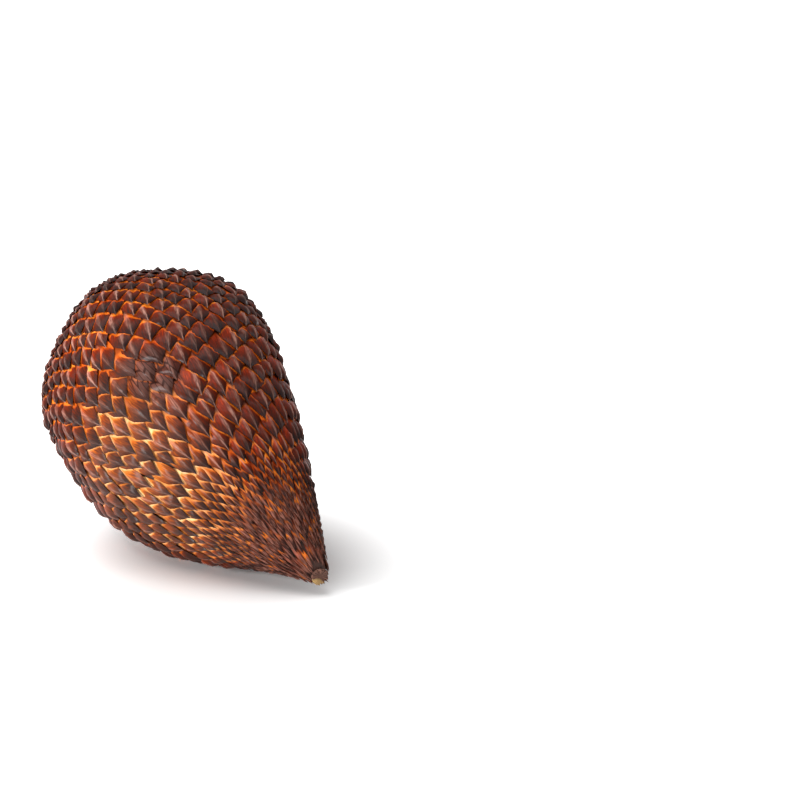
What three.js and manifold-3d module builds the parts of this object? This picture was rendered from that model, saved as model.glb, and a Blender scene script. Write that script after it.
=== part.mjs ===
// Snake fruit (salak): one whole fruit lying on its belly, in millimetres, +Z up.
// The pointed stalk end looks along +X. The fruit is one solid: a teardrop body with blunt ridges and a
// slightly hooked stalk end, whose skin is raised into overlapping scales that point at the stalk.

import * as THREE from 'three';
import { ConvexHull } from 'three/addons/math/ConvexHull.js';
import { mergeVertices } from 'three/addons/utils/BufferGeometryUtils.js';
import Module from 'manifold-3d';

// Driving dimensions of the body
const widestRadius = 25.1;
const roundEndLength = 20.1; // from the widest section back to the round end
const taperLength = 53.8; // from the widest section to the stalk end
const scarRadius = 1.9; // dried stalk scar
const scarDepth = 0.5;
const hookOffset = 15.5; // how far the hooked stalk end reaches sideways, along +Y
const hookPower = 2.5;
const droopOffset = 6.35; // how far the last of the stalk end bends down
const droopPower = 6.75;

// Lobes of the section, which make it a rounded oval with blunt ridges
const lobes = [
  { crests: 2, share: 0.067, angle: 95 },
  { crests: 3, share: 0.01, angle: 21 },
  { crests: 4, share: 0.004, angle: 66 },
  { crests: 5, share: 0.0145, angle: 45 },
  { crests: 6, share: 0.012, angle: 2 },
];

// How the fruit lies
const lean = THREE.MathUtils.degToRad(20.2); // the stalk end dips
const bellyFlat = 0.5; // depth pressed flat under the belly, through the scales
const groundDepth = 10;

// Driving dimensions of the scales
const goldenAngle = THREE.MathUtils.degToRad(137.5077);
const crownScaleArea = 4; // smallest scales, at the round end
const taperScaleRise = 0.108; // advance along the skin from one scale to the next, on the taper
const crownReach = 55; // skin length over which the scales grow to their full size
const crownPower = 2.5;
const scalesAround = 29;
const scaleLift = 0.65; // from the foot of a scale to its free tip
const buriedShare = 0.7; // share of that lift below the nominal skin
const fullLiftWidth = 3.2; // scales narrower than this stand off less
const stoutestScale = 1.2; // widest a scale gets, as a multiple of the square root of its area
const stalkScalesFrom = 34; // axial place at which the scales start to get small and narrow
const stalkScalesFull = 44;
const stalkShrink = 0.7; // share of its area that a scale loses there
const stalkSlimming = 0.35; // taken off the widest multiple there
const smallestScale = 1;
const broadScaleArea = 8; // scales above this size get shoulders
const bareMargin = 0.4; // bare skin around the round pole and the scar

// Points that raise one scale: share of its length behind the tip, share of its half width, share of the lift
const broadScalePoints = [
  [0.0, 0.0, 1.0],
  [-0.1, 0.0, 0.1],
  [0.3, -0.62, 0.85],
  [0.3, 0.62, 0.85],
  [0.13, -0.66, 0.08],
  [0.13, 0.66, 0.08],
];
const crownScalePoints = [
  [0.0, 0.0, 0.85],
  [-0.16, 0.0, 0.1],
  [0.15, 0.66, 0.1],
];

const tau = 2 * Math.PI;
const meridianSteps = 400; // on the round end, and twice as many on the taper
const scarSides = 12;
const normalStep = 0.05;

// Radius of the round section at a distance x from the widest section: an ellipse, then a parabola
function sectionRadius(x) {
  if (x < 0) {
    return widestRadius * Math.sqrt(Math.max(0, 1 - (x / roundEndLength) ** 2));
  }
  const u = x / taperLength;
  return widestRadius * (1 - u ** 2) + scarRadius * u ** 4;
}

// Share of the round section's radius that the lobed section has at angle phi
function swell(phi) {
  const bulges = lobes.map(({ crests, share, angle }) => (
    share * Math.cos(crests * (phi - THREE.MathUtils.degToRad(angle)))
  ));
  return 1 + bulges.reduce((sum, bulge) => sum + bulge, 0);
}

// Point of the smooth skin at axial place x, radius r and angle phi (from +Y towards +Z)
function skinPoint(x, r, phi) {
  const u = Math.max(0, x / taperLength);
  const y = r * swell(phi) * Math.cos(phi) + hookOffset * u ** hookPower;
  const z = r * swell(phi) * Math.sin(phi) - droopOffset * u ** droopPower;
  return new THREE.Vector3(x, y, z);
}

// How far the change to the stalk end's small scales has gone, 0 to 1
function nearStalk(x) {
  return THREE.MathUtils.smoothstep(x, stalkScalesFrom, stalkScalesFull);
}

// Skin area that one scale shows, at arc length s from the round end
function scaleArea(s, r, x) {
  const full = tau * r * taperScaleRise;
  const grown = Math.min(1, s / crownReach) ** crownPower;
  const area = crownScaleArea + (full - crownScaleArea) * grown;
  return Math.max(smallestScale, area * (1 - stalkShrink * nearStalk(x)));
}

// Walks the outline from the round end to the stalk scar and sums arc length, scale count and the
// conformal latitude, in which equal steps along and around the skin are equal
function walkMeridian() {
  const rows = [];
  for (let i = 0; i <= 3 * meridianSteps; i += 1) {
    const turn = Math.PI / 2 * i / meridianSteps;
    const share = (i - meridianSteps) / (2 * meridianSteps);
    const x = share < 0 ? -roundEndLength * Math.cos(turn) : taperLength * share;
    rows.push({ x, r: sectionRadius(x), s: 0, count: 0, latitude: 0 });
  }
  for (let i = 1; i < rows.length; i += 1) {
    const before = rows[i - 1];
    const row = rows[i];
    const ds = Math.hypot(row.x - before.x, row.r - before.r);
    const r = (row.r + before.r) / 2;
    row.s = before.s + ds;
    row.count = before.count + tau * r * ds / scaleArea(row.s, r, row.x);
    row.latitude = before.latitude + ds / r;
  }
  const middle = rows.find((row) => row.x >= 0).latitude;
  for (const row of rows) {
    row.latitude -= middle;
  }
  return rows;
}

const meridian = walkMeridian();

// Row of the meridian table at which a column reaches a value
function rowAt(column, value) {
  let low = 0;
  let high = meridian.length - 1;
  while (high - low > 1) {
    const mid = (low + high) >> 1;
    if (meridian[mid][column] < value) {
      low = mid;
    } else {
      high = mid;
    }
  }
  const a = meridian[low];
  const b = meridian[high];
  const share = THREE.MathUtils.clamp((value - a[column]) / (b[column] - a[column]), 0, 1);
  const mixed = {};
  for (const key of Object.keys(a)) {
    mixed[key] = a[key] + (b[key] - a[key]) * share;
  }
  return mixed;
}

// A point of the raised skin, and the same point on a unit sphere for the triangulation
function raisedPoint(s, phi, height) {
  const row = rowAt('s', s);
  const ahead = rowAt('s', s + normalStep);
  const behind = rowAt('s', s - normalStep);
  const along = skinPoint(ahead.x, ahead.r, phi).sub(skinPoint(behind.x, behind.r, phi));
  const turn = normalStep / Math.max(row.r, scarRadius);
  const around = skinPoint(row.x, row.r, phi + turn).sub(skinPoint(row.x, row.r, phi - turn));
  const normal = new THREE.Vector3().crossVectors(around, along).normalize();
  const position = skinPoint(row.x, row.r, phi).addScaledVector(normal, height);
  const ring = 1 / Math.cosh(row.latitude);
  const sphere = new THREE.Vector3(Math.tanh(row.latitude), ring * Math.cos(phi), ring * Math.sin(phi));
  return { position, sphere };
}

// Every raised point of every scale, on a golden-angle spiral from the round end to the stalk scar
function scalePoints() {
  const points = [];
  const end = meridian[meridian.length - 1];
  const total = Math.floor(end.count);
  for (let n = 1; n < total; n += 1) {
    const row = rowAt('count', n);
    const area = scaleArea(row.s, row.r, row.x);
    const stoutest = stoutestScale - stalkSlimming * nearStalk(row.x);
    const width = Math.min(tau * row.r / scalesAround, stoutest * Math.sqrt(area));
    const length = 2 * area / width;
    const lift = scaleLift * Math.min(1, width / fullLiftWidth);
    const shape = area > broadScaleArea ? broadScalePoints : crownScalePoints;
    for (const [back, across, rise] of shape) {
      const s = row.s - back * length;
      const phi = n * goldenAngle + across * width / 2 / row.r;
      if (s > bareMargin && s < end.s - bareMargin) {
        points.push(raisedPoint(s, phi, (rise - buriedShare) * lift));
      }
    }
  }
  return points;
}

// The round end's pole, and the ring and sunken middle of the stalk scar
function endPoints() {
  const end = meridian[meridian.length - 1];
  const points = [{
    position: skinPoint(-roundEndLength, 0, 0),
    sphere: new THREE.Vector3(-1, 0, 0),
  }];
  for (let i = 0; i < scarSides; i += 1) {
    points.push(raisedPoint(end.s, tau * i / scarSides, 0));
  }
  points.push({
    position: skinPoint(taperLength - scarDepth, 0, 0),
    sphere: new THREE.Vector3(1, 0, 0),
  });
  return points;
}

// Joins the points into one closed skin: the convex hull of their places on the sphere gives the triangles
function closedSkin(points) {
  const placeOf = new Map(points.map((point, index) => [point.sphere, index]));
  const hull = new ConvexHull().setFromPoints(points.map((point) => point.sphere));
  const positions = points.flatMap((point) => point.position.toArray());
  const triangles = [];
  for (const face of hull.faces) {
    let edge = face.edge;
    do {
      triangles.push(placeOf.get(edge.head().point));
      edge = edge.next;
    } while (edge !== face.edge);
  }
  const geometry = new THREE.BufferGeometry();
  geometry.setAttribute('position', new THREE.Float32BufferAttribute(positions, 3));
  geometry.setIndex(triangles);
  return geometry;
}

const wasm = await Module();
wasm.setup();

function toSolid(geometry) {
  const vertProperties = new Float32Array(geometry.attributes.position.array);
  const triVerts = new Uint32Array(geometry.index.array);
  return new wasm.Manifold(new wasm.Mesh({ numProp: 3, vertProperties, triVerts }));
}

function toGeometry(solid) {
  const mesh = solid.getMesh();
  const geometry = new THREE.BufferGeometry();
  geometry.setAttribute('position', new THREE.Float32BufferAttribute(mesh.vertProperties, 3));
  geometry.setIndex([...mesh.triVerts]);
  return geometry;
}

// Block whose top is the surface that the fruit lies on
function groundBlock(box) {
  const size = box.getSize(new THREE.Vector3()).addScalar(groundDepth);
  const center = box.getCenter(new THREE.Vector3());
  const block = new THREE.BoxGeometry(size.x, size.y, groundDepth);
  block.deleteAttribute('normal');
  block.deleteAttribute('uv');
  block.translate(center.x, center.y, -groundDepth / 2);
  return mergeVertices(block);
}

// Lays the fruit down, presses its belly flat and centres it over the origin
function layDown(geometry) {
  geometry.rotateY(lean);
  geometry.computeBoundingBox();
  geometry.translate(0, 0, -geometry.boundingBox.min.z - bellyFlat);
  geometry.computeBoundingBox();
  const ground = groundBlock(geometry.boundingBox);
  const rested = toGeometry(toSolid(geometry).subtract(toSolid(ground)));
  rested.computeBoundingBox();
  const center = rested.boundingBox.getCenter(new THREE.Vector3());
  rested.translate(-center.x, -center.y, -rested.boundingBox.min.z);
  rested.computeVertexNormals();
  return rested;
}

const skin = new THREE.MeshStandardMaterial({ color: 0x6b3420, roughness: 0.45, metalness: 0 });
const fruit = new THREE.Mesh(layDown(closedSkin([...endPoints(), ...scalePoints()])), skin);
fruit.name = 'snake_fruit';

const salak = new THREE.Group();
salak.add(fruit);

export default salak;
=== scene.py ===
import math

import bpy
import numpy as np
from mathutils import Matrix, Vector


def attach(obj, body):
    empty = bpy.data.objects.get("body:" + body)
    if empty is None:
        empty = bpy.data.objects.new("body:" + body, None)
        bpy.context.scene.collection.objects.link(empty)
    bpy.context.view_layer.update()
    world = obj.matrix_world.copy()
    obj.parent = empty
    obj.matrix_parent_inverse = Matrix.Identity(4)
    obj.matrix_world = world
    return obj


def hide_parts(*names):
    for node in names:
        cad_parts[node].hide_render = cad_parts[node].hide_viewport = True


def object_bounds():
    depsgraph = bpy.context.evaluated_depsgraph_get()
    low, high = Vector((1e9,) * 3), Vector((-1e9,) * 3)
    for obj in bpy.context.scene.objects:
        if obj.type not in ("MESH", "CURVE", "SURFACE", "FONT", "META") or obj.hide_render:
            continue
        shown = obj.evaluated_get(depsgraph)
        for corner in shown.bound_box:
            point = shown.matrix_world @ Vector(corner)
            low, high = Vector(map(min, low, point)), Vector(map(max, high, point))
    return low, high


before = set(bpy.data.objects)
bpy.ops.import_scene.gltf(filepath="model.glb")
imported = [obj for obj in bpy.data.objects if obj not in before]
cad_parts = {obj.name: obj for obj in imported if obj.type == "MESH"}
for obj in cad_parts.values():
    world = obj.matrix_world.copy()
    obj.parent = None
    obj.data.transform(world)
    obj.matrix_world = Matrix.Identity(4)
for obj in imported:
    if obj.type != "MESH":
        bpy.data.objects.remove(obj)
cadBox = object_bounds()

# One whole snake fruit lying on its belly. Closed scales stand on a golden-angle spiral over a dark
# under-skin, tips towards the stalk, and a dried stalk scar and a small flower scar close the two ends.
# Shapes are worked out in millimetres and become meshes in metres.

mm = 0.001
fullTurn = 2 * math.pi
randomDraws = np.random.default_rng(11)

view = {
    "azimuth": 73.8,
    "elevation": 15.4,
    "distance": 0.494,  # from the middle of the fruit's box
    "lens": 114.9,
    "sensor": 36,
    "nearest": 0.01,
    "aimRight": 0.0420,  # the fruit stands left of the middle
    "aimUp": 0.0026,
}

light = {
    "skyStrength": 0.19,
    "softboxes": [
        # name, azimuth, elevation, distance, side, power
        ("overheadSoftbox", 10, 72, 0.9, 0.8, 7.8),
        ("leftSoftbox", 12, 14, 1.0, 0.3, 9.9),
    ],
    "floorColour": (0.92, 0.92, 0.92, 1),
    "floorRoughness": 0.6,
    "floorHalf": 3.0,
    "glowMiddle": (0.014, 0.006, 0),  # away from this point the floor turns plain white
    "glow": (0.012, 0.06, 0.0, 0.85),  # two distances from it, and the glow at each
}


# The way to a camera or lamp, from its azimuth and elevation in degrees.
def direction(azimuth, elevation):
    a = math.radians(azimuth)
    e = math.radians(elevation)
    return Vector((math.sin(a) * math.cos(e), -math.cos(a) * math.cos(e), math.sin(e)))


def lookAt(thing, standpoint, target):
    thing.location = standpoint
    thing.rotation_euler = (target - standpoint).to_track_quat("-Z", "Y").to_euler()


def makeCamera(middle):
    back = direction(view["azimuth"], view["elevation"])
    right = Vector((0, 0, 1)).cross(back).normalized()
    up = back.cross(right)
    camera = bpy.data.objects.new("camera", bpy.data.cameras.new("camera"))
    camera.data.lens = view["lens"]
    camera.data.sensor_width = view["sensor"]
    camera.data.clip_start = view["nearest"]
    target = middle + right * view["aimRight"] + up * view["aimUp"]
    lookAt(camera, middle + back * view["distance"], target)
    bpy.context.scene.collection.objects.link(camera)
    bpy.context.scene.camera = camera


def makeLights(middle):
    for name, azimuth, elevation, distance, side, power in light["softboxes"]:
        lamp = bpy.data.lights.new(name, "AREA")
        lamp.shape = "SQUARE"
        lamp.size = side
        lamp.energy = power
        softbox = bpy.data.objects.new(name, lamp)
        lookAt(softbox, middle + direction(azimuth, elevation) * distance, middle)
        bpy.context.scene.collection.objects.link(softbox)


# The S-curve 3t^2 - 2t^3 between two limits.
def smoothStep(low, high, value):
    t = np.clip((value - low) / (high - low), 0, 1)
    return t * t * (3 - 2 * t)


# The turn from the second angle to the first, the short way round.
def shortTurn(phi, middle):
    return (phi - middle + math.pi) % fullTurn - math.pi


# Points in millimetres, faces as index lists, attributes as one row per point. The last argument says
# which pairs of points are the ends of a sharp edge.
def makeMesh(name, points, faces, attributes, isSharp=None):
    mesh = bpy.data.meshes.new(name)
    mesh.from_pydata((points * mm).tolist(), [], faces)
    for key, values in attributes.items():
        kind = "FLOAT_VECTOR" if values.ndim == 2 else "FLOAT"
        layer = mesh.attributes.new(key, kind, "POINT")
        field = "vector" if values.ndim == 2 else "value"
        layer.data.foreach_set(field, values.astype(np.float32).ravel())
    mesh.polygons.foreach_set("use_smooth", np.ones(len(mesh.polygons), bool))
    if isSharp is not None:
        ends = np.zeros(len(mesh.edges) * 2, int)
        mesh.edges.foreach_get("vertices", ends)
        sharp = isSharp(ends.reshape(-1, 2))
        mesh.attributes.new("sharp_edge", "BOOLEAN", "EDGE").data.foreach_set("value", sharp)
    mesh.update()
    piece = bpy.data.objects.new(name, mesh)
    bpy.context.scene.collection.objects.link(piece)
    return piece


# Quads between closed rings of equal length, facing out when the rings run towards +X.
def ringFaces(rings, sides):
    ring, side = np.meshgrid(np.arange(rings - 1), np.arange(sides), indexing="ij")
    after = (side + 1) % sides
    here = ring * sides
    corners = [here + side, here + after, here + sides + after, here + sides + side]
    return np.stack(corners, axis=-1).reshape(-1, 4).tolist()


# The same, closed by fans to two poles, whose points follow the last ring.
def capsuleFaces(rings, sides):
    side = np.arange(sides)
    after = (side + 1) % sides
    pole = rings * sides
    last = pole - sides
    firstFan = np.stack([after, side, np.full(sides, pole)], axis=1)
    lastFan = np.stack([last + side, last + after, np.full(sides, pole + 1)], axis=1)
    return ringFaces(rings, sides) + firstFan.tolist() + lastFan.tolist()


body = {
    "widestRadius": 25.1,
    "roundEndLength": 20.1,  # from the widest section back to the round end
    "taperLength": 53.8,  # from the widest section to the stalk end
    "scarRadius": 1.9,
    "hookOffset": 15.5,  # how far the stalk end hooks sideways
    "hookPower": 2.5,
    "droopOffset": 6.35,  # how far its last part bends down
    "droopPower": 6.75,
    "lobes": [(2, 0.067, 95), (3, 0.01, 21), (4, 0.004, 66), (5, 0.0145, 45), (6, 0.012, 2)],
    "lean": 20.2,
    "bellySink": 0.3,  # how far the nominal skin is pressed into the ground
    "groundGap": 0.02,  # the lowest points stop this far above the ground
    "tableSteps": 3000,
    "placeSteps": (300, 240),
    "normalStep": 0.05,
}


# An ellipse behind the widest section, then the parabola 1 - u^2, with a share of u^4 that lets it end
# at the scar's radius.
def sectionRadius(x):
    u = np.clip(x / body["taperLength"], 0, 1)
    roundEnd = np.sqrt(np.clip(1 - (x / body["roundEndLength"]) ** 2, 0, 1))
    taper = 1 - u**2 + body["scarRadius"] / body["widestRadius"] * u**4
    return body["widestRadius"] * np.where(x < 0, roundEnd, taper)


# 1 plus one cosine for each lobe: crests, share of the radius, angle of the first crest.
def swell(phi):
    lobes = body["lobes"]
    return 1 + sum(share * np.cos(crests * (phi - math.radians(angle))) for crests, share, angle in lobes)


# Lobed section of radius r at x, moved sideways by the hook and down by the droop.
def skin(x, r, phi):
    u = np.clip(x / body["taperLength"], 0, None)
    bulge = r * swell(phi)
    across = bulge * np.cos(phi) + body["hookOffset"] * u ** body["hookPower"]
    height = bulge * np.sin(phi) - body["droopOffset"] * u ** body["droopPower"]
    return np.stack(np.broadcast_arrays(x, across, height), axis=-1)


scales = {
    "goldenAngle": math.radians(137.5077),
    "crownArea": 4.0,  # area of the scales at the round end
    "taperRise": 0.108,  # advance along the skin from one scale to the next
    "crownReach": 55.0,  # arc length over which the scales grow to full size
    "crownPower": 2.5,
    "around": 29,  # scales side by side around the taper
    "stoutest": 1.2,  # width of the widest scales, as a share of the square root of their area
    "stalkLimits": (34.0, 44.0),  # axial places between which the scales get small and narrow
    "stalkShrink": 0.7,
    "stalkSlimming": 0.35,
    "smallest": 1.0,  # least area
    "fewerAtStalk": 13,
    "firstPlace": 0.6,  # arc length of the innermost scale's tip at the round end
    "lastMargin": 0.1,
    "overhangRows": 2.0,  # the last stretch of skin, whose scales reach past the stalk scar
    "overhang": 1.4,
    "lift": 0.75,  # rise of a scale from its foot to its tip
    "fullLiftWidth": 3.2,  # narrower scales rise less
    "liftPower": 0.6,
    "buriedShare": 1.15,  # of the lift, by which the foot lies under the nominal skin
    "reach": 1.5,  # whole length of a scale, as a share of the length that shows
    "reachLimit": 0.95,
    "overlap": 1.16,  # whole width, as a share of the width that shows
    "widthLimit": 0.9,
    "shoulder": 0.64,  # where a scale is widest, as a share of the length that shows
    "drawnOut": 0.9,  # 0 for blunt tips, 1 for long drawn-out ones
    "bluntness": 2.1,
    "bluntnessLost": 0.6,
    "grownLimits": (8, 45),  # arc lengths between which the scales lose their round-end look
    "foot": (0.65, 1.0),  # stretch over which a scale gets narrower again, as shares of its reach
    "footSlimming": 0.45,
    "crown": 0.75,  # height of a scale's keel
    "keelShare": 0.7,  # 1 for a straight-sided roof, 0 for a round one
    "tipTaper": 0.3,  # stretch behind the tip over which the keel rises
    "curl": 0.3,  # how far the free end of a scale stands off further
    "curlReach": 0.45,
    "emerge": (-0.1, 0.9),  # distances over which a scale swells out from under the ones above it
    "edgeSlant": 0.85,  # turns a sideways distance into one square to a slanting edge
    "neighbours": 92,  # scales on the spiral before each one that may lie over it
    "uncovered": -9.0,  # stands for no scale above
    "tilt": 0.11,  # sideways lean of a scale, along the spiral
    "sunnyTilt": 0.36,  # lean the other way, on the golden flank
    "sunnyAngle": 182,  # middle of the golden flank: partly a riper tone, partly painted light on the lit side
    "sunnyAround": (30, 80),  # degrees from the middle between which it fades
    "sunnyStart": (0.45, 0.65),  # shares of the skin's length, as the next two
    "sunnyEnd": (0.78, 0.93),
    "dryLimits": (0.78, 0.92),
    "leastRadius": 0.5,  # keeps angles finite near the poles, as the next one
    "leastArc": 0.05,
    "laneApart": 37,  # sets the grain of each scale apart from its neighbours'
}

# How much single scales differ, as shares of their own sizes.
uneven = {
    "turn": 0.08,
    "place": 0.045,
    "lift": 0.15,
    "shoulder": 0.09,
    "width": 0.07,
    "crown": 0.2,
    "tilt": 0.07,
}

# A patch of uneven, cracked scales.
patch = {
    "place": 57.0,  # arc length and angle of its middle
    "angle": 119.0,
    "size": 5.0,
    "unrest": 0.3,  # added to all differences between scales
    "longer": 0.15,
    "tilt": 0.1,
}


# 0 on the full-sized scales, 1 where they are small and narrow.
def nearStalk(x):
    return smoothStep(*scales["stalkLimits"], x)


# 1 on the small, dry scales around the stalk.
def stalkward(s):
    return smoothStep(*scales["dryLimits"], s / skinLength)


# From the crown's area up to the spiral's share of the ring, 2 pi r * rise, and down again at the stalk.
def scaleArea(s, r, x):
    full = fullTurn * r * scales["taperRise"]
    grown = np.clip(s / scales["crownReach"], 0, 1) ** scales["crownPower"]
    area = scales["crownArea"] + (full - scales["crownArea"]) * grown
    return np.maximum(scales["smallest"], area * (1 - scales["stalkShrink"] * nearStalk(x)))


# Running sums of arc length and of scales passed, from the round end to the stalk scar.
def walkMeridian():
    steps = body["tableSteps"]
    turn = np.linspace(0, math.pi / 2, steps)
    taper = np.linspace(0, body["taperLength"], 2 * steps)[1:]
    x = np.append(-body["roundEndLength"] * np.cos(turn), taper)
    r = sectionRadius(x)
    ds = np.hypot(np.diff(x), np.diff(r))
    s = np.append(0, np.cumsum(ds))
    middleRadius = (r[1:] + r[:-1]) / 2
    count = np.append(0, np.cumsum(fullTurn * middleRadius * ds / scaleArea(s[1:], middleRadius, x[1:])))
    return {"x": x, "r": r, "s": s, "count": count}


meridian = walkMeridian()
skinLength = meridian["s"][-1]


# Direction of the bent centre line where it reaches the stalk scar.
def stalkDirection():
    sideways = body["hookOffset"] * body["hookPower"] / body["taperLength"]
    down = body["droopOffset"] * body["droopPower"] / body["taperLength"]
    slope = np.array([1.0, sideways, -down])
    return slope / np.linalg.norm(slope)


# Skin point at arc length s; past the scar the skin goes straight on along the stalk.
def skinAt(s, phi):
    x = np.interp(s, meridian["s"], meridian["x"])
    past = np.clip(s - skinLength, 0, None)
    points = skin(x, np.interp(s, meridian["s"], meridian["r"]), phi)
    return points + past[..., None] * stalkDirection()


# The skin point moved along the skin's normal, which is around cross along.
def raised(s, phi, height):
    step = body["normalStep"]
    r = np.interp(s, meridian["s"], meridian["r"])
    turn = step / np.maximum(r, body["scarRadius"] / 2)
    inner = np.clip(s, 2 * step, skinLength - 2 * step)
    along = skinAt(inner + step, phi) - skinAt(inner - step, phi)
    around = skinAt(inner, phi + turn) - skinAt(inner, phi - turn)
    normal = np.cross(around, along)
    normal /= np.linalg.norm(normal, axis=-1, keepdims=True)
    return skinAt(s, phi) + height[..., None] * normal


scarMiddle = np.array([body["taperLength"], body["hookOffset"], -body["droopOffset"]])
flowerMiddle = np.array([-body["roundEndLength"], 0, 0])


# Leaned about the axis that runs across the fruit.
def turned(points):
    lean = math.radians(body["lean"])
    x = points[..., 0] * math.cos(lean) + points[..., 2] * math.sin(lean)
    z = points[..., 2] * math.cos(lean) - points[..., 0] * math.sin(lean)
    return np.stack([x, points[..., 1], z], axis=-1)


# Shift that brings the stalk end to the box's far side, the flanks to its middle and the belly down.
def findPlace():
    along, around = body["placeSteps"]
    s = np.linspace(0, skinLength, along)
    s, phi = np.meshgrid(s, np.linspace(0, fullTurn, around), indexing="ij")
    points = turned(skinAt(s, phi))
    low = points.min(axis=(0, 1))
    high = points.max(axis=(0, 1))
    boxLow = np.array(cadBox[0]) / mm
    boxHigh = np.array(cadBox[1]) / mm
    sideways = (boxLow[1] + boxHigh[1] - low[1] - high[1]) / 2
    return np.array([boxHigh[0] - high[0], sideways, boxLow[2] - body["bellySink"] - low[2]])


place = findPlace()


# Leaned, shifted and pressed flat on the ground.
def laid(points):
    points = turned(points) + place
    ground = cadBox[0][2] / mm
    points[..., 2] = np.maximum(points[..., 2], ground + body["groundGap"])
    return points


# 1 in the middle of the cracked patch, falling off as a bell: e to the -(distance / size)^2.
def crackedPatch(s, r, phi):
    across = shortTurn(phi, math.radians(patch["angle"])) * r
    return np.exp(-((s - patch["place"]) ** 2 + across**2) / patch["size"] ** 2)


# 1 on the golden flank, partly riper tone, partly painted light; fades to 0 around it and to both ends.
def sunnySide(s, phi):
    turn = np.abs(shortTurn(phi, math.radians(scales["sunnyAngle"])))
    around = 1 - smoothStep(*np.radians(scales["sunnyAround"]), turn)
    share = s / skinLength
    along = smoothStep(*scales["sunnyStart"], share) * (1 - smoothStep(*scales["sunnyEnd"], share))
    return around * along


# One row per scale, with its tip's place, its sizes and its own small differences.
def layScales():
    number = np.arange(1, int(meridian["count"][-1]))
    total = len(number)
    s = np.interp(number, meridian["count"], meridian["s"])
    r = np.interp(s, meridian["s"], meridian["r"])
    x = np.interp(s, meridian["s"], meridian["x"])
    phi = number * scales["goldenAngle"]
    broken = crackedPatch(s, r, phi)
    differs = randomDraws.normal(0, 1, (6, total)).clip(-2, 2) * (1 + patch["unrest"] * broken)

    area = scaleArea(s, r, x)
    around = scales["around"] - scales["fewerAtStalk"] * nearStalk(x)
    width = (scales["stoutest"] - scales["stalkSlimming"] * nearStalk(x)) * np.sqrt(area)
    width = np.where(x < 0, width, np.minimum(fullTurn * r / around, width))
    length = 2 * area / width
    relief = np.minimum(1, width / scales["fullLiftWidth"]) ** scales["liftPower"]

    phi = phi + uneven["turn"] * width * differs[0] / r
    lastOnes = s > skinLength - scales["overhangRows"]
    overhang = scales["overhang"] * randomDraws.random(total) * lastOnes
    s = s + uneven["place"] * length * differs[1]
    s = s.clip(scales["firstPlace"], skinLength - scales["lastMargin"]) + overhang
    grown = smoothStep(*scales["grownLimits"], s)
    reach = scales["reach"] * length * (1 + patch["longer"] * broken)
    halfWidths = scales["overlap"] * width / 2 * (1 + uneven["width"] * differs[4])
    tilt = scales["tilt"] * grown - scales["sunnyTilt"] * sunnySide(s, phi)
    plates = {
        "s": s,
        "phi": phi,
        "length": length,
        "reach": np.minimum(reach, scales["reachLimit"] * s),
        "shoulder": scales["shoulder"] * length * (1 + uneven["shoulder"] * differs[3]),
        "halfWidth": np.minimum(halfWidths, scales["widthLimit"] * r),
        "bluntness": scales["bluntness"] - scales["bluntnessLost"] * grown,
        "lift": scales["lift"] * relief * (1 + uneven["lift"] * differs[2]),
        "crown": scales["crown"] * relief * (1 + uneven["crown"] * differs[5]),
        "tint": randomDraws.random(total) * (1 - broken),
        "tilt": tilt + (uneven["tilt"] + patch["tilt"] * broken) * randomDraws.normal(0, 1, total),
    }
    return {key: values[:, None, None] for key, values in plates.items()}


# From the tip to the shoulder a mean of 1 - (1 - t)^bluntness and an S-curve; then narrower to the foot.
def halfWidth(behind, plates):
    t = np.clip(behind / plates["shoulder"], 0, 1)
    foot = smoothStep(*scales["foot"], behind / plates["reach"])
    blunt = 1 - (1 - t) ** plates["bluntness"]
    flank = (1 - scales["drawnOut"]) * blunt + scales["drawnOut"] * smoothStep(0, 1, t)
    return plates["halfWidth"] * flank * (1 - scales["footSlimming"] * foot)


# Distance of each point from the edge of the scales that lie over it; below 0 it is covered.
def emergence(s, phi, plates):
    r = np.maximum(np.interp(s, meridian["s"], meridian["r"]), scales["leastRadius"])
    cover = np.full(s.shape, scales["uncovered"])
    for step in range(1, scales["neighbours"]):
        above = {key: values[:-step] for key, values in plates.items()}
        behind = above["s"] - s[step:]
        across = shortTurn(phi[step:], above["phi"]) * r[step:] + above["tilt"] * behind
        inside = scales["edgeSlant"] * (halfWidth(behind, above) - np.abs(across))
        pastFoot = np.where(behind < above["reach"], inside, scales["uncovered"])
        depth = np.where(behind < 0, -np.hypot(behind, across), pastFoot)
        cover[step:] = np.maximum(cover[step:], depth)
    return -cover


# Rows from the foot to just behind the tip, as shares of a scale's reach; columns from edge to edge.
plateRows = np.array([1.0, 0.82, 0.68, 0.56, 0.45, 0.34, 0.23, 0.12])
plateColumns = np.array([-1.0, -0.72, -0.36, 0.0, 0.36, 0.72, 1.0])


# Faces of one scale: top grid, underside ladder, tip fan and foot. The tip is the last point.
def platePattern():
    rows = len(plateRows)
    columns = len(plateColumns)
    tip = rows * columns
    last = tip - columns
    faces = []
    for left in range(0, last, columns):
        right = left + columns - 1
        for corner in range(left, right):
            faces.append([corner, corner + 1, corner + columns + 1, corner + columns])
        faces.append([left, left + columns, right + columns, right])
    for corner in range(last, tip - 1):
        faces.append([corner, corner + 1, tip])
    faces.append([last, tip, tip - 1])
    faces.append(list(range(columns - 1, -1, -1)))
    return faces, tip + 1


# True for the edges around a scale: down both flanks, at the tip and across the foot.
def marginEdges(ends):
    columns = len(plateColumns)
    tip = len(plateRows) * columns
    local = np.sort(ends % (tip + 1), axis=1)
    column = local % columns
    outermost = (column[:, 0] == 0) | (column[:, 0] == columns - 1)
    flank = (column[:, 0] == column[:, 1]) | (local[:, 1] == tip)
    return (flank & outermost) | (local[:, 1] < columns)


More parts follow.
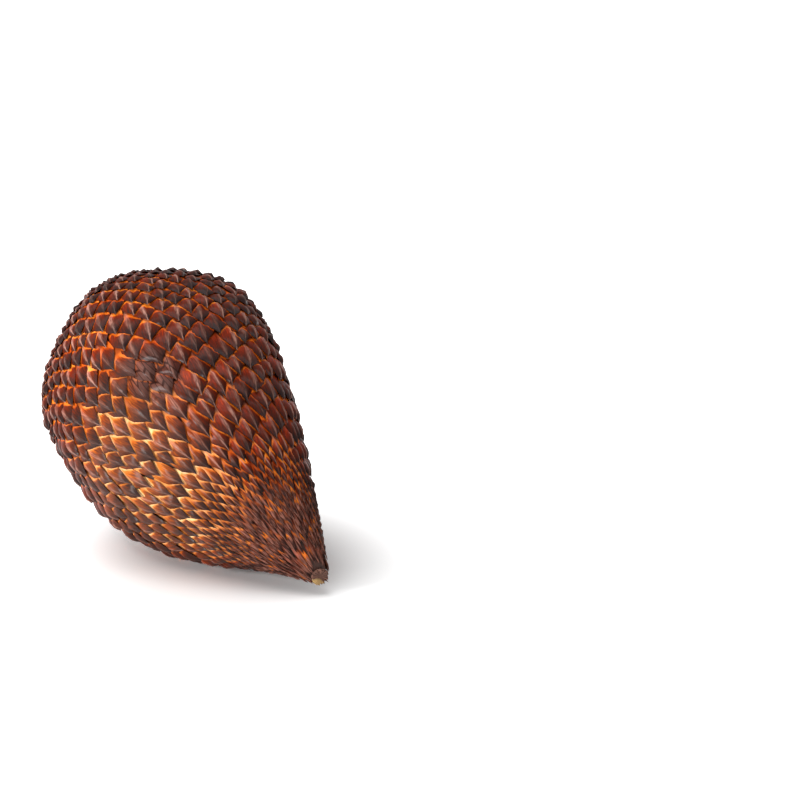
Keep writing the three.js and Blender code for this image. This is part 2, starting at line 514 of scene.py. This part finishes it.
# Height over the skin = lift * (share towards the tip - buried share) + crown * keel * emergence + curl.
def makeScales():
    plates = layScales()
    total = len(plates["s"])
    rowsBehind = plateRows[None, :, None] * plates["reach"]
    gridAcross = plateColumns[None, None, :] * halfWidth(rowsBehind, plates)

    # Each scale's points as one column: its grid, then its tip.
    def listed(grid):
        grid = np.broadcast_to(grid, gridAcross.shape).reshape(total, -1)
        return np.append(grid, np.zeros((total, 1)), axis=1)[:, :, None]

    behind = listed(rowsBehind)
    across = listed(gridAcross)
    share = listed(plateColumns)
    s = np.maximum(plates["s"] - behind, scales["leastArc"])
    r = np.maximum(np.interp(s, meridian["s"], meridian["r"]), scales["leastRadius"])
    phi = plates["phi"] + (across - plates["tilt"] * behind) / r
    clear = emergence(s, phi, plates)

    part = behind / plates["length"]
    keel = scales["keelShare"] * (1 - np.abs(share)) + (1 - scales["keelShare"]) * (1 - share**2)
    keel = keel * smoothStep(*scales["emerge"], clear) * smoothStep(0, scales["tipTaper"], part)
    curl = scales["curl"] * np.clip(1 - part / scales["curlReach"], 0, 1) ** 2
    height = plates["lift"] * (1 - behind / plates["reach"] - scales["buriedShare"])
    height = height + plates["crown"] * keel + plates["lift"] / scales["lift"] * curl
    points = laid(raised(s, phi, height)[:, :, 0, :])

    pattern, size = platePattern()
    faces = [[corner + plate * size for corner in face] for plate in range(total) for face in pattern]
    tint = plates["tint"] + 0 * behind
    attributes = {
        "clearance": clear.ravel(),
        "behind": part.ravel(),
        "across": share.ravel(),
        "tint": tint.ravel(),
        "lane": np.concatenate([across, behind, scales["laneApart"] * tint], axis=2).reshape(-1, 3),
        "sunny": sunnySide(s, phi).ravel(),
        "stalkward": stalkward(s).ravel(),
        "cracked": crackedPatch(s, r, phi).ravel(),
    }
    return makeMesh("scales", points.reshape(-1, 3), faces, attributes, marginEdges)


underSkin = {
    "rings": 150,
    "sides": 120,
    "gap": 0.1,  # between the scales' feet and the skin
    "gapAtStalk": 0.3,  # added at the stalk
}


# The skin that the scales grow from, closed at both poles: height = -buried share * lift - gap.
def makeUnderSkin():
    rings = underSkin["rings"]
    sides = underSkin["sides"]
    s = np.linspace(0, skinLength, rings + 2)[1:-1]
    s, phi = np.meshgrid(s, np.arange(sides) * fullTurn / sides, indexing="ij")
    r = np.interp(s, meridian["s"], meridian["r"])
    relief = np.minimum(1, fullTurn * r / scales["around"] / scales["fullLiftWidth"])
    height = -scales["buriedShare"] * scales["lift"] * relief
    height = height - underSkin["gap"] - underSkin["gapAtStalk"] * stalkward(s)
    points = laid(raised(s, phi, height)).reshape(-1, 3)
    poles = laid(np.array([flowerMiddle, scarMiddle]))
    return makeMesh("underSkin", np.concatenate([points, poles]), capsuleFaces(rings, sides), {})


scars = {
    "stalkScar": {
        "radius": 1.5,
        "collar": 0.3,  # how far the dry collar runs back over the fruit
        "rim": 0.1,
        "ragged": 0.4,
        "lip": 0.35,  # extra length of the torn fibres at the lower side
        "lipAngle": -115,
        "flare": 0.05,
        "dish": 0.0,
    },
    "flowerScar": {
        "radius": 1.1,
        "collar": 0.8,
        "rim": 0.45,
        "ragged": 0.2,
        "lip": 0.0,
        "lipAngle": 0,
        "flare": 0.0,
        "dish": 0.1,
    },
}

# What both scars share.
collar = {
    "rings": 14,
    "sides": 72,
    "fibres": (3, 22),  # the torn rim is a sum of waves with this many crests
    "evenness": 2.2,
    "share": 0.45,  # of the profile that climbs outside the rim, and as much inside
    "bulge": 0.1,
    "closing": 0.95,
    "frayed": 0.04,
}


# Height = (collar + rim) * outside - (rim + dish) * inside - collar: up its outside, over a ragged rim,
# and down into a dished middle. Radius = radius * (1 + bulge * sin(pi * outside) - closing * inside),
# flared at the lip.
def makeScar(name, middle, outward):
    shape = scars[name]
    rings = collar["rings"]
    sides = collar["sides"]
    t, phi = np.meshgrid(np.linspace(0, 1, rings), np.arange(sides) * fullTurn / sides, indexing="ij")
    waves = sum(
        randomDraws.normal(0, 1) / math.sqrt(k) * np.cos(k * phi + randomDraws.uniform(0, fullTurn))
        for k in range(*collar["fibres"])
    )
    lip = np.clip(np.cos(phi - math.radians(shape["lipAngle"])), 0, 1) ** 2
    rim = shape["rim"] + shape["ragged"] * waves / collar["evenness"] + shape["lip"] * lip
    outside = np.clip(t / collar["share"], 0, 1)
    inside = np.clip(1 - (1 - t) / collar["share"], 0, 1)
    height = (shape["collar"] + rim) * outside - (rim + shape["dish"]) * smoothStep(0, 1, inside)
    height = height - shape["collar"]
    flare = shape["flare"] * lip
    closing = (collar["closing"] + flare) * inside
    radius = shape["radius"] * (1 + collar["bulge"] * np.sin(math.pi * outside) + flare - closing)
    radius = radius * (1 + collar["frayed"] * waves)
    hand = np.sign(outward[0])
    ring = np.stack([0 * phi, np.cos(phi), hand * np.sin(phi)], axis=-1) * radius[..., None]
    points = laid(middle + ring + height[..., None] * outward)
    points = np.concatenate([points.reshape(-1, 3), [points[0].mean(axis=0), points[-1].mean(axis=0)]])
    lane = np.stack([phi * shape["radius"], height, 0 * phi], axis=-1).reshape(-1, 3)
    straw = (lip * (1 - inside) * np.sign(shape["lip"])).ravel()
    attributes = {"lane": np.concatenate([lane, lane[:1], lane[-1:]]), "straw": np.append(straw, [0, 0])}
    return makeMesh(name, points, capsuleFaces(rings, sides), attributes)


def rgb(*values):
    return (*values, 1)


# Numbers and colours are set on a node's sockets, other nodes' outputs are linked to them.
def feed(node, inputs):
    for key, value in inputs.items():
        if isinstance(value, bpy.types.NodeSocket):
            node.id_data.links.new(value, node.inputs[key])
        else:
            node.inputs[key].default_value = value


# Gives a function that adds one node to the tree: its kind, what feeds it, and its settings.
def nodeMaker(tree):

    def add(kind, inputs=None, **settings):
        node = tree.nodes.new("ShaderNode" + kind)
        for key, value in settings.items():
            setattr(node, key, value)
        feed(node, inputs or {})
        return node

    return add


def rampNode(add, factor, stops):
    node = add("ValToRGB", {0: factor})
    ramp = node.color_ramp
    while len(ramp.elements) < len(stops):
        ramp.elements.new(0.5)
    for element, (position, colour) in zip(ramp.elements, stops):
        element.position = position
        element.color = colour
    return node.outputs[0]


# A Mix node's colours go into sockets 6 and 7 and come out of socket 2.
def mixColour(add, factor, a, b):
    return add("Mix", {0: factor, 6: a, 7: b}, data_type="RGBA").outputs[2]


def mapRange(add, value, low, high, outLow=0.0, outHigh=1.0, smooth=True):
    kind = "SMOOTHSTEP" if smooth else "LINEAR"
    inputs = {0: value, 1: low, 2: high, 3: outLow, 4: outHigh}
    return add("MapRange", inputs, interpolation_type=kind).outputs[0]


def combine(add, operation, a, b):
    return add("Math", {0: a, 1: b}, operation=operation).outputs[0]


def product(add, first, *others):
    for other in others:
        first = combine(add, "MULTIPLY", first, other)
    return first


def opposite(add, mask):
    return combine(add, "SUBTRACT", 1.0, mask)


grain = {
    "stretch": (1.0, 0.12, 1.0),
    "detail": 3.0,
}


# Fine lengthwise fibres: noise on lane coordinates, drawn out along the scale.
def makeFibreGroup():
    group = bpy.data.node_groups.new("fibres", "ShaderNodeTree")
    group.interface.new_socket("Lane", in_out="INPUT", socket_type="NodeSocketVector")
    group.interface.new_socket("Fineness", in_out="INPUT", socket_type="NodeSocketFloat")
    group.interface.new_socket("Fibres", in_out="OUTPUT", socket_type="NodeSocketFloat")
    add = nodeMaker(group)
    entry = group.nodes.new("NodeGroupInput")
    lane = {0: entry.outputs["Lane"], 1: grain["stretch"]}
    noise = add("TexNoise", {
        "Vector": add("VectorMath", lane, operation="MULTIPLY").outputs[0],
        "Scale": entry.outputs["Fineness"],
        "Detail": grain["detail"],
    })
    feed(group.nodes.new("NodeGroupOutput"), {0: noise.outputs[0]})
    return group


def useFibres(add, group, fineness):
    node = add("Group")
    node.node_tree = group
    feed(node, {"Lane": attributeVector(add, "lane"), "Fineness": fineness})
    return node.outputs[0]


def newMaterial(name):
    material = bpy.data.materials.new(name)
    material.use_nodes = True
    tree = material.node_tree
    return material, nodeMaker(tree), tree.nodes["Principled BSDF"]


def attribute(add, name):
    return add("Attribute", attribute_name=name).outputs["Fac"]


def attributeVector(add, name):
    return add("Attribute", attribute_name=name).outputs["Vector"]


# Colours run from the free tip to the foot, or from the darkest scale to the palest. A mask or a
# fall gives two limits and the two values that it takes there.
horn = {
    "fineness": 4.5,
    "streakLimits": (0.3, 0.7),
    "maroon": [
        (0.15, rgb(0.025, 0.012, 0.011)),
        (0.45, rgb(0.07, 0.0125, 0.006)),
        (0.72, rgb(0.14, 0.013, 0.003)),
        (1.0, rgb(0.34, 0.03, 0.003)),
    ],
    "rust": [
        (0.15, rgb(0.047, 0.024, 0.02)),
        (0.4, rgb(0.09, 0.03, 0.018)),
        (0.72, rgb(0.25, 0.052, 0.011)),
        (1.0, rgb(0.55, 0.14, 0.016)),
    ],
    "wornByStreaks": (-0.2, 0.2),
    "wornByTint": (0.0, 1.0, -0.12, 0.1),
    "wornAtStalk": 0.2,
    "rimMask": (0.3, 0.85, 0.08, 1.0),
    "rimsAtStalk": (0.5, 1.0, 0.06, 0.5),
    "rimByStreaks": (0.45, 1.05),
    "rimInSun": (0.0, 1.0, 0.8, 1.0),
    "rimAcross": (-1.0, 1.0, 1.25, 0.35),
    "rimLeast": 0.03,
    "rimFall": (0.1, 1.0, 1.0, 0.0),
    "fieryRim": [(0.0, rgb(0.5, 0.052, 0.003)), (1.0, rgb(0.85, 0.16, 0.01))],
    "goldenRim": [(0.0, rgb(0.58, 0.11, 0.008)), (1.0, rgb(0.78, 0.26, 0.05))],
    "lineFall": (0.06, 0.36, 1.0, 0.0),
    "lineAcross": (0.0, 0.9, 1.0, 0.25),
    # line colours: the fresh edge's paler colour with a painted highlight on it
    "fieryLine": [(0.0, rgb(0.7, 0.09, 0.005)), (1.0, rgb(0.98, 0.28, 0.03))],
    "goldenLine": [(0.0, rgb(0.76, 0.24, 0.03)), (1.0, rgb(0.93, 0.6, 0.28))],
    # painted shade where a scale's foot, normally deep under the ones above, shows
    "paintedFootShadeMask": (0.9, 1.12, 0.0, 0.8),
    "foot": rgb(0.16, 0.016, 0.004),
    # a highlight painted down the keel: its fall across the scale, and what weakens it
    "keelFall": (0.02, 0.3, 0.5, 0.0),
    "keelBy": {
        "tint": (0.0, 0.9, 0.35, 1.1),
        "sunny": (0.0, 1.0, 1.0, 0.6),
        "streak": (0.38, 0.62, 0.35, 1.15),
    },
    "paintedKeelHighlight": rgb(0.5, 0.27, 0.21),
    "dryMask": (0.5, 1.0, 0.0, 0.65),
    "dryOffRims": (0.0, 0.6, 1.0, 0.0),
    "dry": [(0.44, rgb(0.038, 0.013, 0.009)), (0.6, rgb(0.29, 0.12, 0.086))],
    "crackedMask": (0.12, 0.6, 0.0, 1.0),
    "chipStrength": 0.5,
    "darkChip": rgb(0.05, 0.014, 0.009),
    "paleChip": rgb(0.2, 0.09, 0.07),
    "chipShape": (1.25, 0.3, 1.0),  # chips across and along each millimetre
    "crackFall": (0.03, 0.12, 0.9, 0.0),
    "crack": rgb(0.03, 0.008, 0.005),
    "shade": (0.0, 1.0, 0.85, 1.25),
    "roughness": (0.36, 0.52),
    "specular": 0.02,
    "coat": 0.1,
    "coatRoughness": 0.18,
    "bump": 0.4,
    "bumpHeight": 0.00015,
}


# What the scales' masks are made of: the mesh's attributes and the fibre streaks.
def hornTraits(add, fibres):
    names = ("clearance", "behind", "across", "tint", "sunny", "stalkward", "cracked")
    traits = {name: attribute(add, name) for name in names}
    traits["streak"] = useFibres(add, fibres, horn["fineness"])
    return traits


# A value that goes with the streaks, from low in the dark ones to high in the pale ones.
def alongStreaks(add, traits, low, high):
    return mapRange(add, traits["streak"], *horn["streakLimits"], low, high, smooth=False)


# Dark at the free tip and redder towards the foot, uneven from fibre to fibre and scale to scale.
def hornColour(add, traits):
    byTint = mapRange(add, traits["tint"], *horn["wornByTint"], smooth=False)
    worn = combine(add, "ADD", traits["behind"], alongStreaks(add, traits, *horn["wornByStreaks"]))
    worn = combine(add, "ADD", worn, byTint)
    worn = combine(add, "SUBTRACT", worn, product(add, traits["stalkward"], horn["wornAtStalk"]))
    maroon = rampNode(add, worn, horn["maroon"])
    rust = rampNode(add, worn, horn["rust"])
    # rust on the golden flank: partly a riper tone, partly painted light on the lit side
    return mixColour(add, traits["sunny"], maroon, rust)


# Where rims show: little at the free tip, fully towards the foot, and on few dry scales at the stalk.
def rimPlaces(add, traits):
    flank = mapRange(add, traits["behind"], *horn["rimMask"])
    few = mapRange(add, traits["tint"], *horn["rimsAtStalk"])
    kept = combine(add, "ADD", opposite(add, traits["stalkward"]), product(add, traits["stalkward"], few))
    return flank, kept


# The broad rim beside the scales that lie over this one, ragged, and wider on one flank.
def rimMask(add, traits, flank, kept):
    width = product(add, flank, alongStreaks(add, traits, *horn["rimByStreaks"]))
    width = product(add, width, mapRange(add, traits["sunny"], *horn["rimInSun"]))
    width = product(add, width, mapRange(add, traits["across"], *horn["rimAcross"], smooth=False))
    width = combine(add, "ADD", width, horn["rimLeast"])
    rim = mapRange(add, combine(add, "DIVIDE", traits["clearance"], width), *horn["rimFall"])
    return product(add, rim, flank, kept)


# The thin pale line along the same edge, partly its paler fresh colour and partly a painted highlight.
def paleLineAndHighlightMask(add, traits, flank, kept):
    line = mapRange(add, traits["clearance"], *horn["lineFall"])
    return product(add, line, flank, mapRange(add, traits["across"], *horn["lineAcross"]), kept)


# A soft highlight painted down the keel, stronger on pale scales, broken up by the streaks, none at the
# stalk.
def paintedKeelHighlightMask(add, traits):
    aside = add("Math", {0: traits["across"]}, operation="ABSOLUTE").outputs[0]
    keel = product(add, mapRange(add, aside, *horn["keelFall"]), opposite(add, traits["stalkward"]))
    for trait in ("tint", "sunny", "streak"):
        keel = product(add, keel, mapRange(add, traits[trait], *horn["keelBy"][trait]))
    return keel


# Long chips with dark cracks between them.
def crackedColour(add, traits, coloured):
    broken = mapRange(add, traits["cracked"], *horn["crackedMask"])
    inputs = {0: attributeVector(add, "lane"), 1: horn["chipShape"]}
    chips = {"Vector": add("VectorMath", inputs, operation="MULTIPLY").outputs[0], "Scale": 1.0}
    ownColour = add("TexVoronoi", chips).outputs["Color"]
    paleness = add("SeparateColor", {"Color": ownColour}).outputs[0]
    chip = mixColour(add, paleness, horn["darkChip"], horn["paleChip"])
    coloured = mixColour(add, product(add, broken, horn["chipStrength"]), coloured, chip)
    gap = add("TexVoronoi", chips, feature="DISTANCE_TO_EDGE").outputs["Distance"]
    crack = product(add, mapRange(add, gap, *horn["crackFall"]), broken)
    return mixColour(add, crack, coloured, horn["crack"])


# Rim or line colour: fiery on most of the fruit, golden on the riper flank, which also carries painted
# light.
def ripeColour(add, traits, kind):
    fiery = rampNode(add, traits["tint"], horn["fiery" + kind])
    golden = rampNode(add, traits["tint"], horn["golden" + kind])
    return mixColour(add, traits["sunny"], fiery, golden)


# Horn, rims, lines (partly painted highlight), painted foot shade, painted keel highlight, dry stalk
# fibres, cracks.
def scaleMaterial(fibres):
    material, add, shader = newMaterial("scaleHorn")
    traits = hornTraits(add, fibres)
    flank, kept = rimPlaces(add, traits)
    rim = rimMask(add, traits, flank, kept)
    line = paleLineAndHighlightMask(add, traits, flank, kept)
    # Painted shade at the foot, where a scale runs deep under the ones above; none on the golden flank.
    foot = mapRange(add, traits["behind"], *horn["paintedFootShadeMask"])
    foot = product(add, foot, opposite(add, traits["sunny"]))
    dryness = mapRange(add, traits["stalkward"], *horn["dryMask"])
    dryness = product(add, dryness, mapRange(add, rim, *horn["dryOffRims"]))
    coloured = hornColour(add, traits)
    coloured = mixColour(add, rim, coloured, ripeColour(add, traits, "Rim"))
    # the pale line, partly a painted highlight
    coloured = mixColour(add, line, coloured, ripeColour(add, traits, "Line"))
    # painted shade at the foot
    coloured = mixColour(add, foot, coloured, horn["foot"])
    # a painted highlight down the keel
    coloured = mixColour(add, paintedKeelHighlightMask(add, traits), coloured, horn["paintedKeelHighlight"])
    coloured = mixColour(add, dryness, coloured, rampNode(add, traits["streak"], horn["dry"]))
    coloured = crackedColour(add, traits, coloured)
    shade = mapRange(add, traits["tint"], *horn["shade"], smooth=False)
    bump = {"Height": traits["streak"], "Strength": horn["bump"], "Distance": horn["bumpHeight"]}
    feed(shader, {
        "Base Color": add("HueSaturation", {"Value": shade, "Color": coloured}).outputs[0],
        "Roughness": alongStreaks(add, traits, *horn["roughness"]),
        "Specular IOR Level": horn["specular"],
        "Coat Weight": horn["coat"],
        "Coat Roughness": horn["coatRoughness"],
        "Normal": add("Bump", bump).outputs[0],
    })
    return material


skinBrown = {
    "grain": 700.0,
    "colours": [(0.3, rgb(0.03, 0.012, 0.008)), (0.7, rgb(0.07, 0.022, 0.012))],
    "roughness": 0.7,
}


# Dark matt red brown, seen only between the scales.
def skinMaterial():
    material, add, shader = newMaterial("underSkinBrown")
    noise = add("TexNoise", {"Vector": add("TexCoord").outputs["Object"], "Scale": skinBrown["grain"]})
    colour = rampNode(add, noise.outputs[0], skinBrown["colours"])
    feed(shader, {"Base Color": colour, "Roughness": skinBrown["roughness"]})
    return material


dryStalk = {
    "fineness": 7.0,
    "bark": [(0.4, rgb(0.04, 0.014, 0.009)), (0.62, rgb(0.26, 0.11, 0.07))],
    "straw": [(0.3, rgb(0.25, 0.11, 0.03)), (0.65, rgb(0.75, 0.5, 0.2))],
    "torn": (0.15, 0.5),
    "roughness": 0.75,
    "bump": 0.6,
    "bumpHeight": 0.0003,
}


# Brown dry fibres, straw-coloured where the lip is torn.
def scarMaterial(fibres):
    material, add, shader = newMaterial("dryStalk")
    streak = useFibres(add, fibres, dryStalk["fineness"])
    bark = rampNode(add, streak, dryStalk["bark"])
    straw = rampNode(add, streak, dryStalk["straw"])
    torn = mapRange(add, attribute(add, "straw"), *dryStalk["torn"])
    bump = {"Height": streak, "Strength": dryStalk["bump"], "Distance": dryStalk["bumpHeight"]}
    feed(shader, {
        "Base Color": mixColour(add, torn, bark, straw),
        "Roughness": dryStalk["roughness"],
        "Normal": add("Bump", bump).outputs[0],
    })
    return material


# 1 for what the camera sees directly, in gloss or through glass.
def whiteForView(add):
    path = add("LightPath")
    seen = combine(add, "MAXIMUM", path.outputs["Is Camera Ray"], path.outputs["Is Glossy Ray"])
    return combine(add, "MAXIMUM", seen, path.outputs["Is Transmission Ray"])


def makeFloor():
    half = light["floorHalf"]
    corners = np.array([[-half, -half, 0], [half, -half, 0], [half, half, 0], [-half, half, 0]]) / mm
    floor = makeMesh("floor", corners, [[0, 1, 2, 3]], {})
    material, add, shader = newMaterial("whiteFloor")
    inputs = {0: add("TexCoord").outputs["Object"], 1: light["glowMiddle"]}
    distance = add("VectorMath", inputs, operation="DISTANCE").outputs["Value"]
    glow = mapRange(add, distance, *light["glow"])
    feed(shader, {
        "Base Color": light["floorColour"],
        "Roughness": light["floorRoughness"],
        "Emission Color": rgb(1, 1, 1),
        "Emission Strength": product(add, whiteForView(add), glow),
    })
    floor.data.materials.append(material)


def makeSky():
    world = bpy.data.worlds.new("whiteSky")
    bpy.context.scene.world = world
    world.use_nodes = True
    add = nodeMaker(world.node_tree)
    strength = mapRange(add, whiteForView(add), 0.0, 1.0, light["skyStrength"], 1.0, smooth=False)
    feed(world.node_tree.nodes["Background"], {"Color": rgb(1, 1, 1), "Strength": strength})


def dress(piece, material):
    piece.data.materials.append(material)
    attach(piece, "root")
    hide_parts("snake_fruit")


print("camera, lights and floor")
boxMiddle = (Vector(cadBox[0]) + Vector(cadBox[1])) / 2
makeCamera(boxMiddle)
makeLights(boxMiddle)
makeFloor()
makeSky()
bpy.context.scene.view_settings.view_transform = "Standard"

print("scales")
fibreGroup = makeFibreGroup()
dress(makeScales(), scaleMaterial(fibreGroup))

print("under-skin and scars")
dress(makeUnderSkin(), skinMaterial())
scarFibres = scarMaterial(fibreGroup)
dress(makeScar("stalkScar", scarMiddle, stalkDirection()), scarFibres)
dress(makeScar("flowerScar", flowerMiddle, np.array([-1.0, 0, 0])), scarFibres)
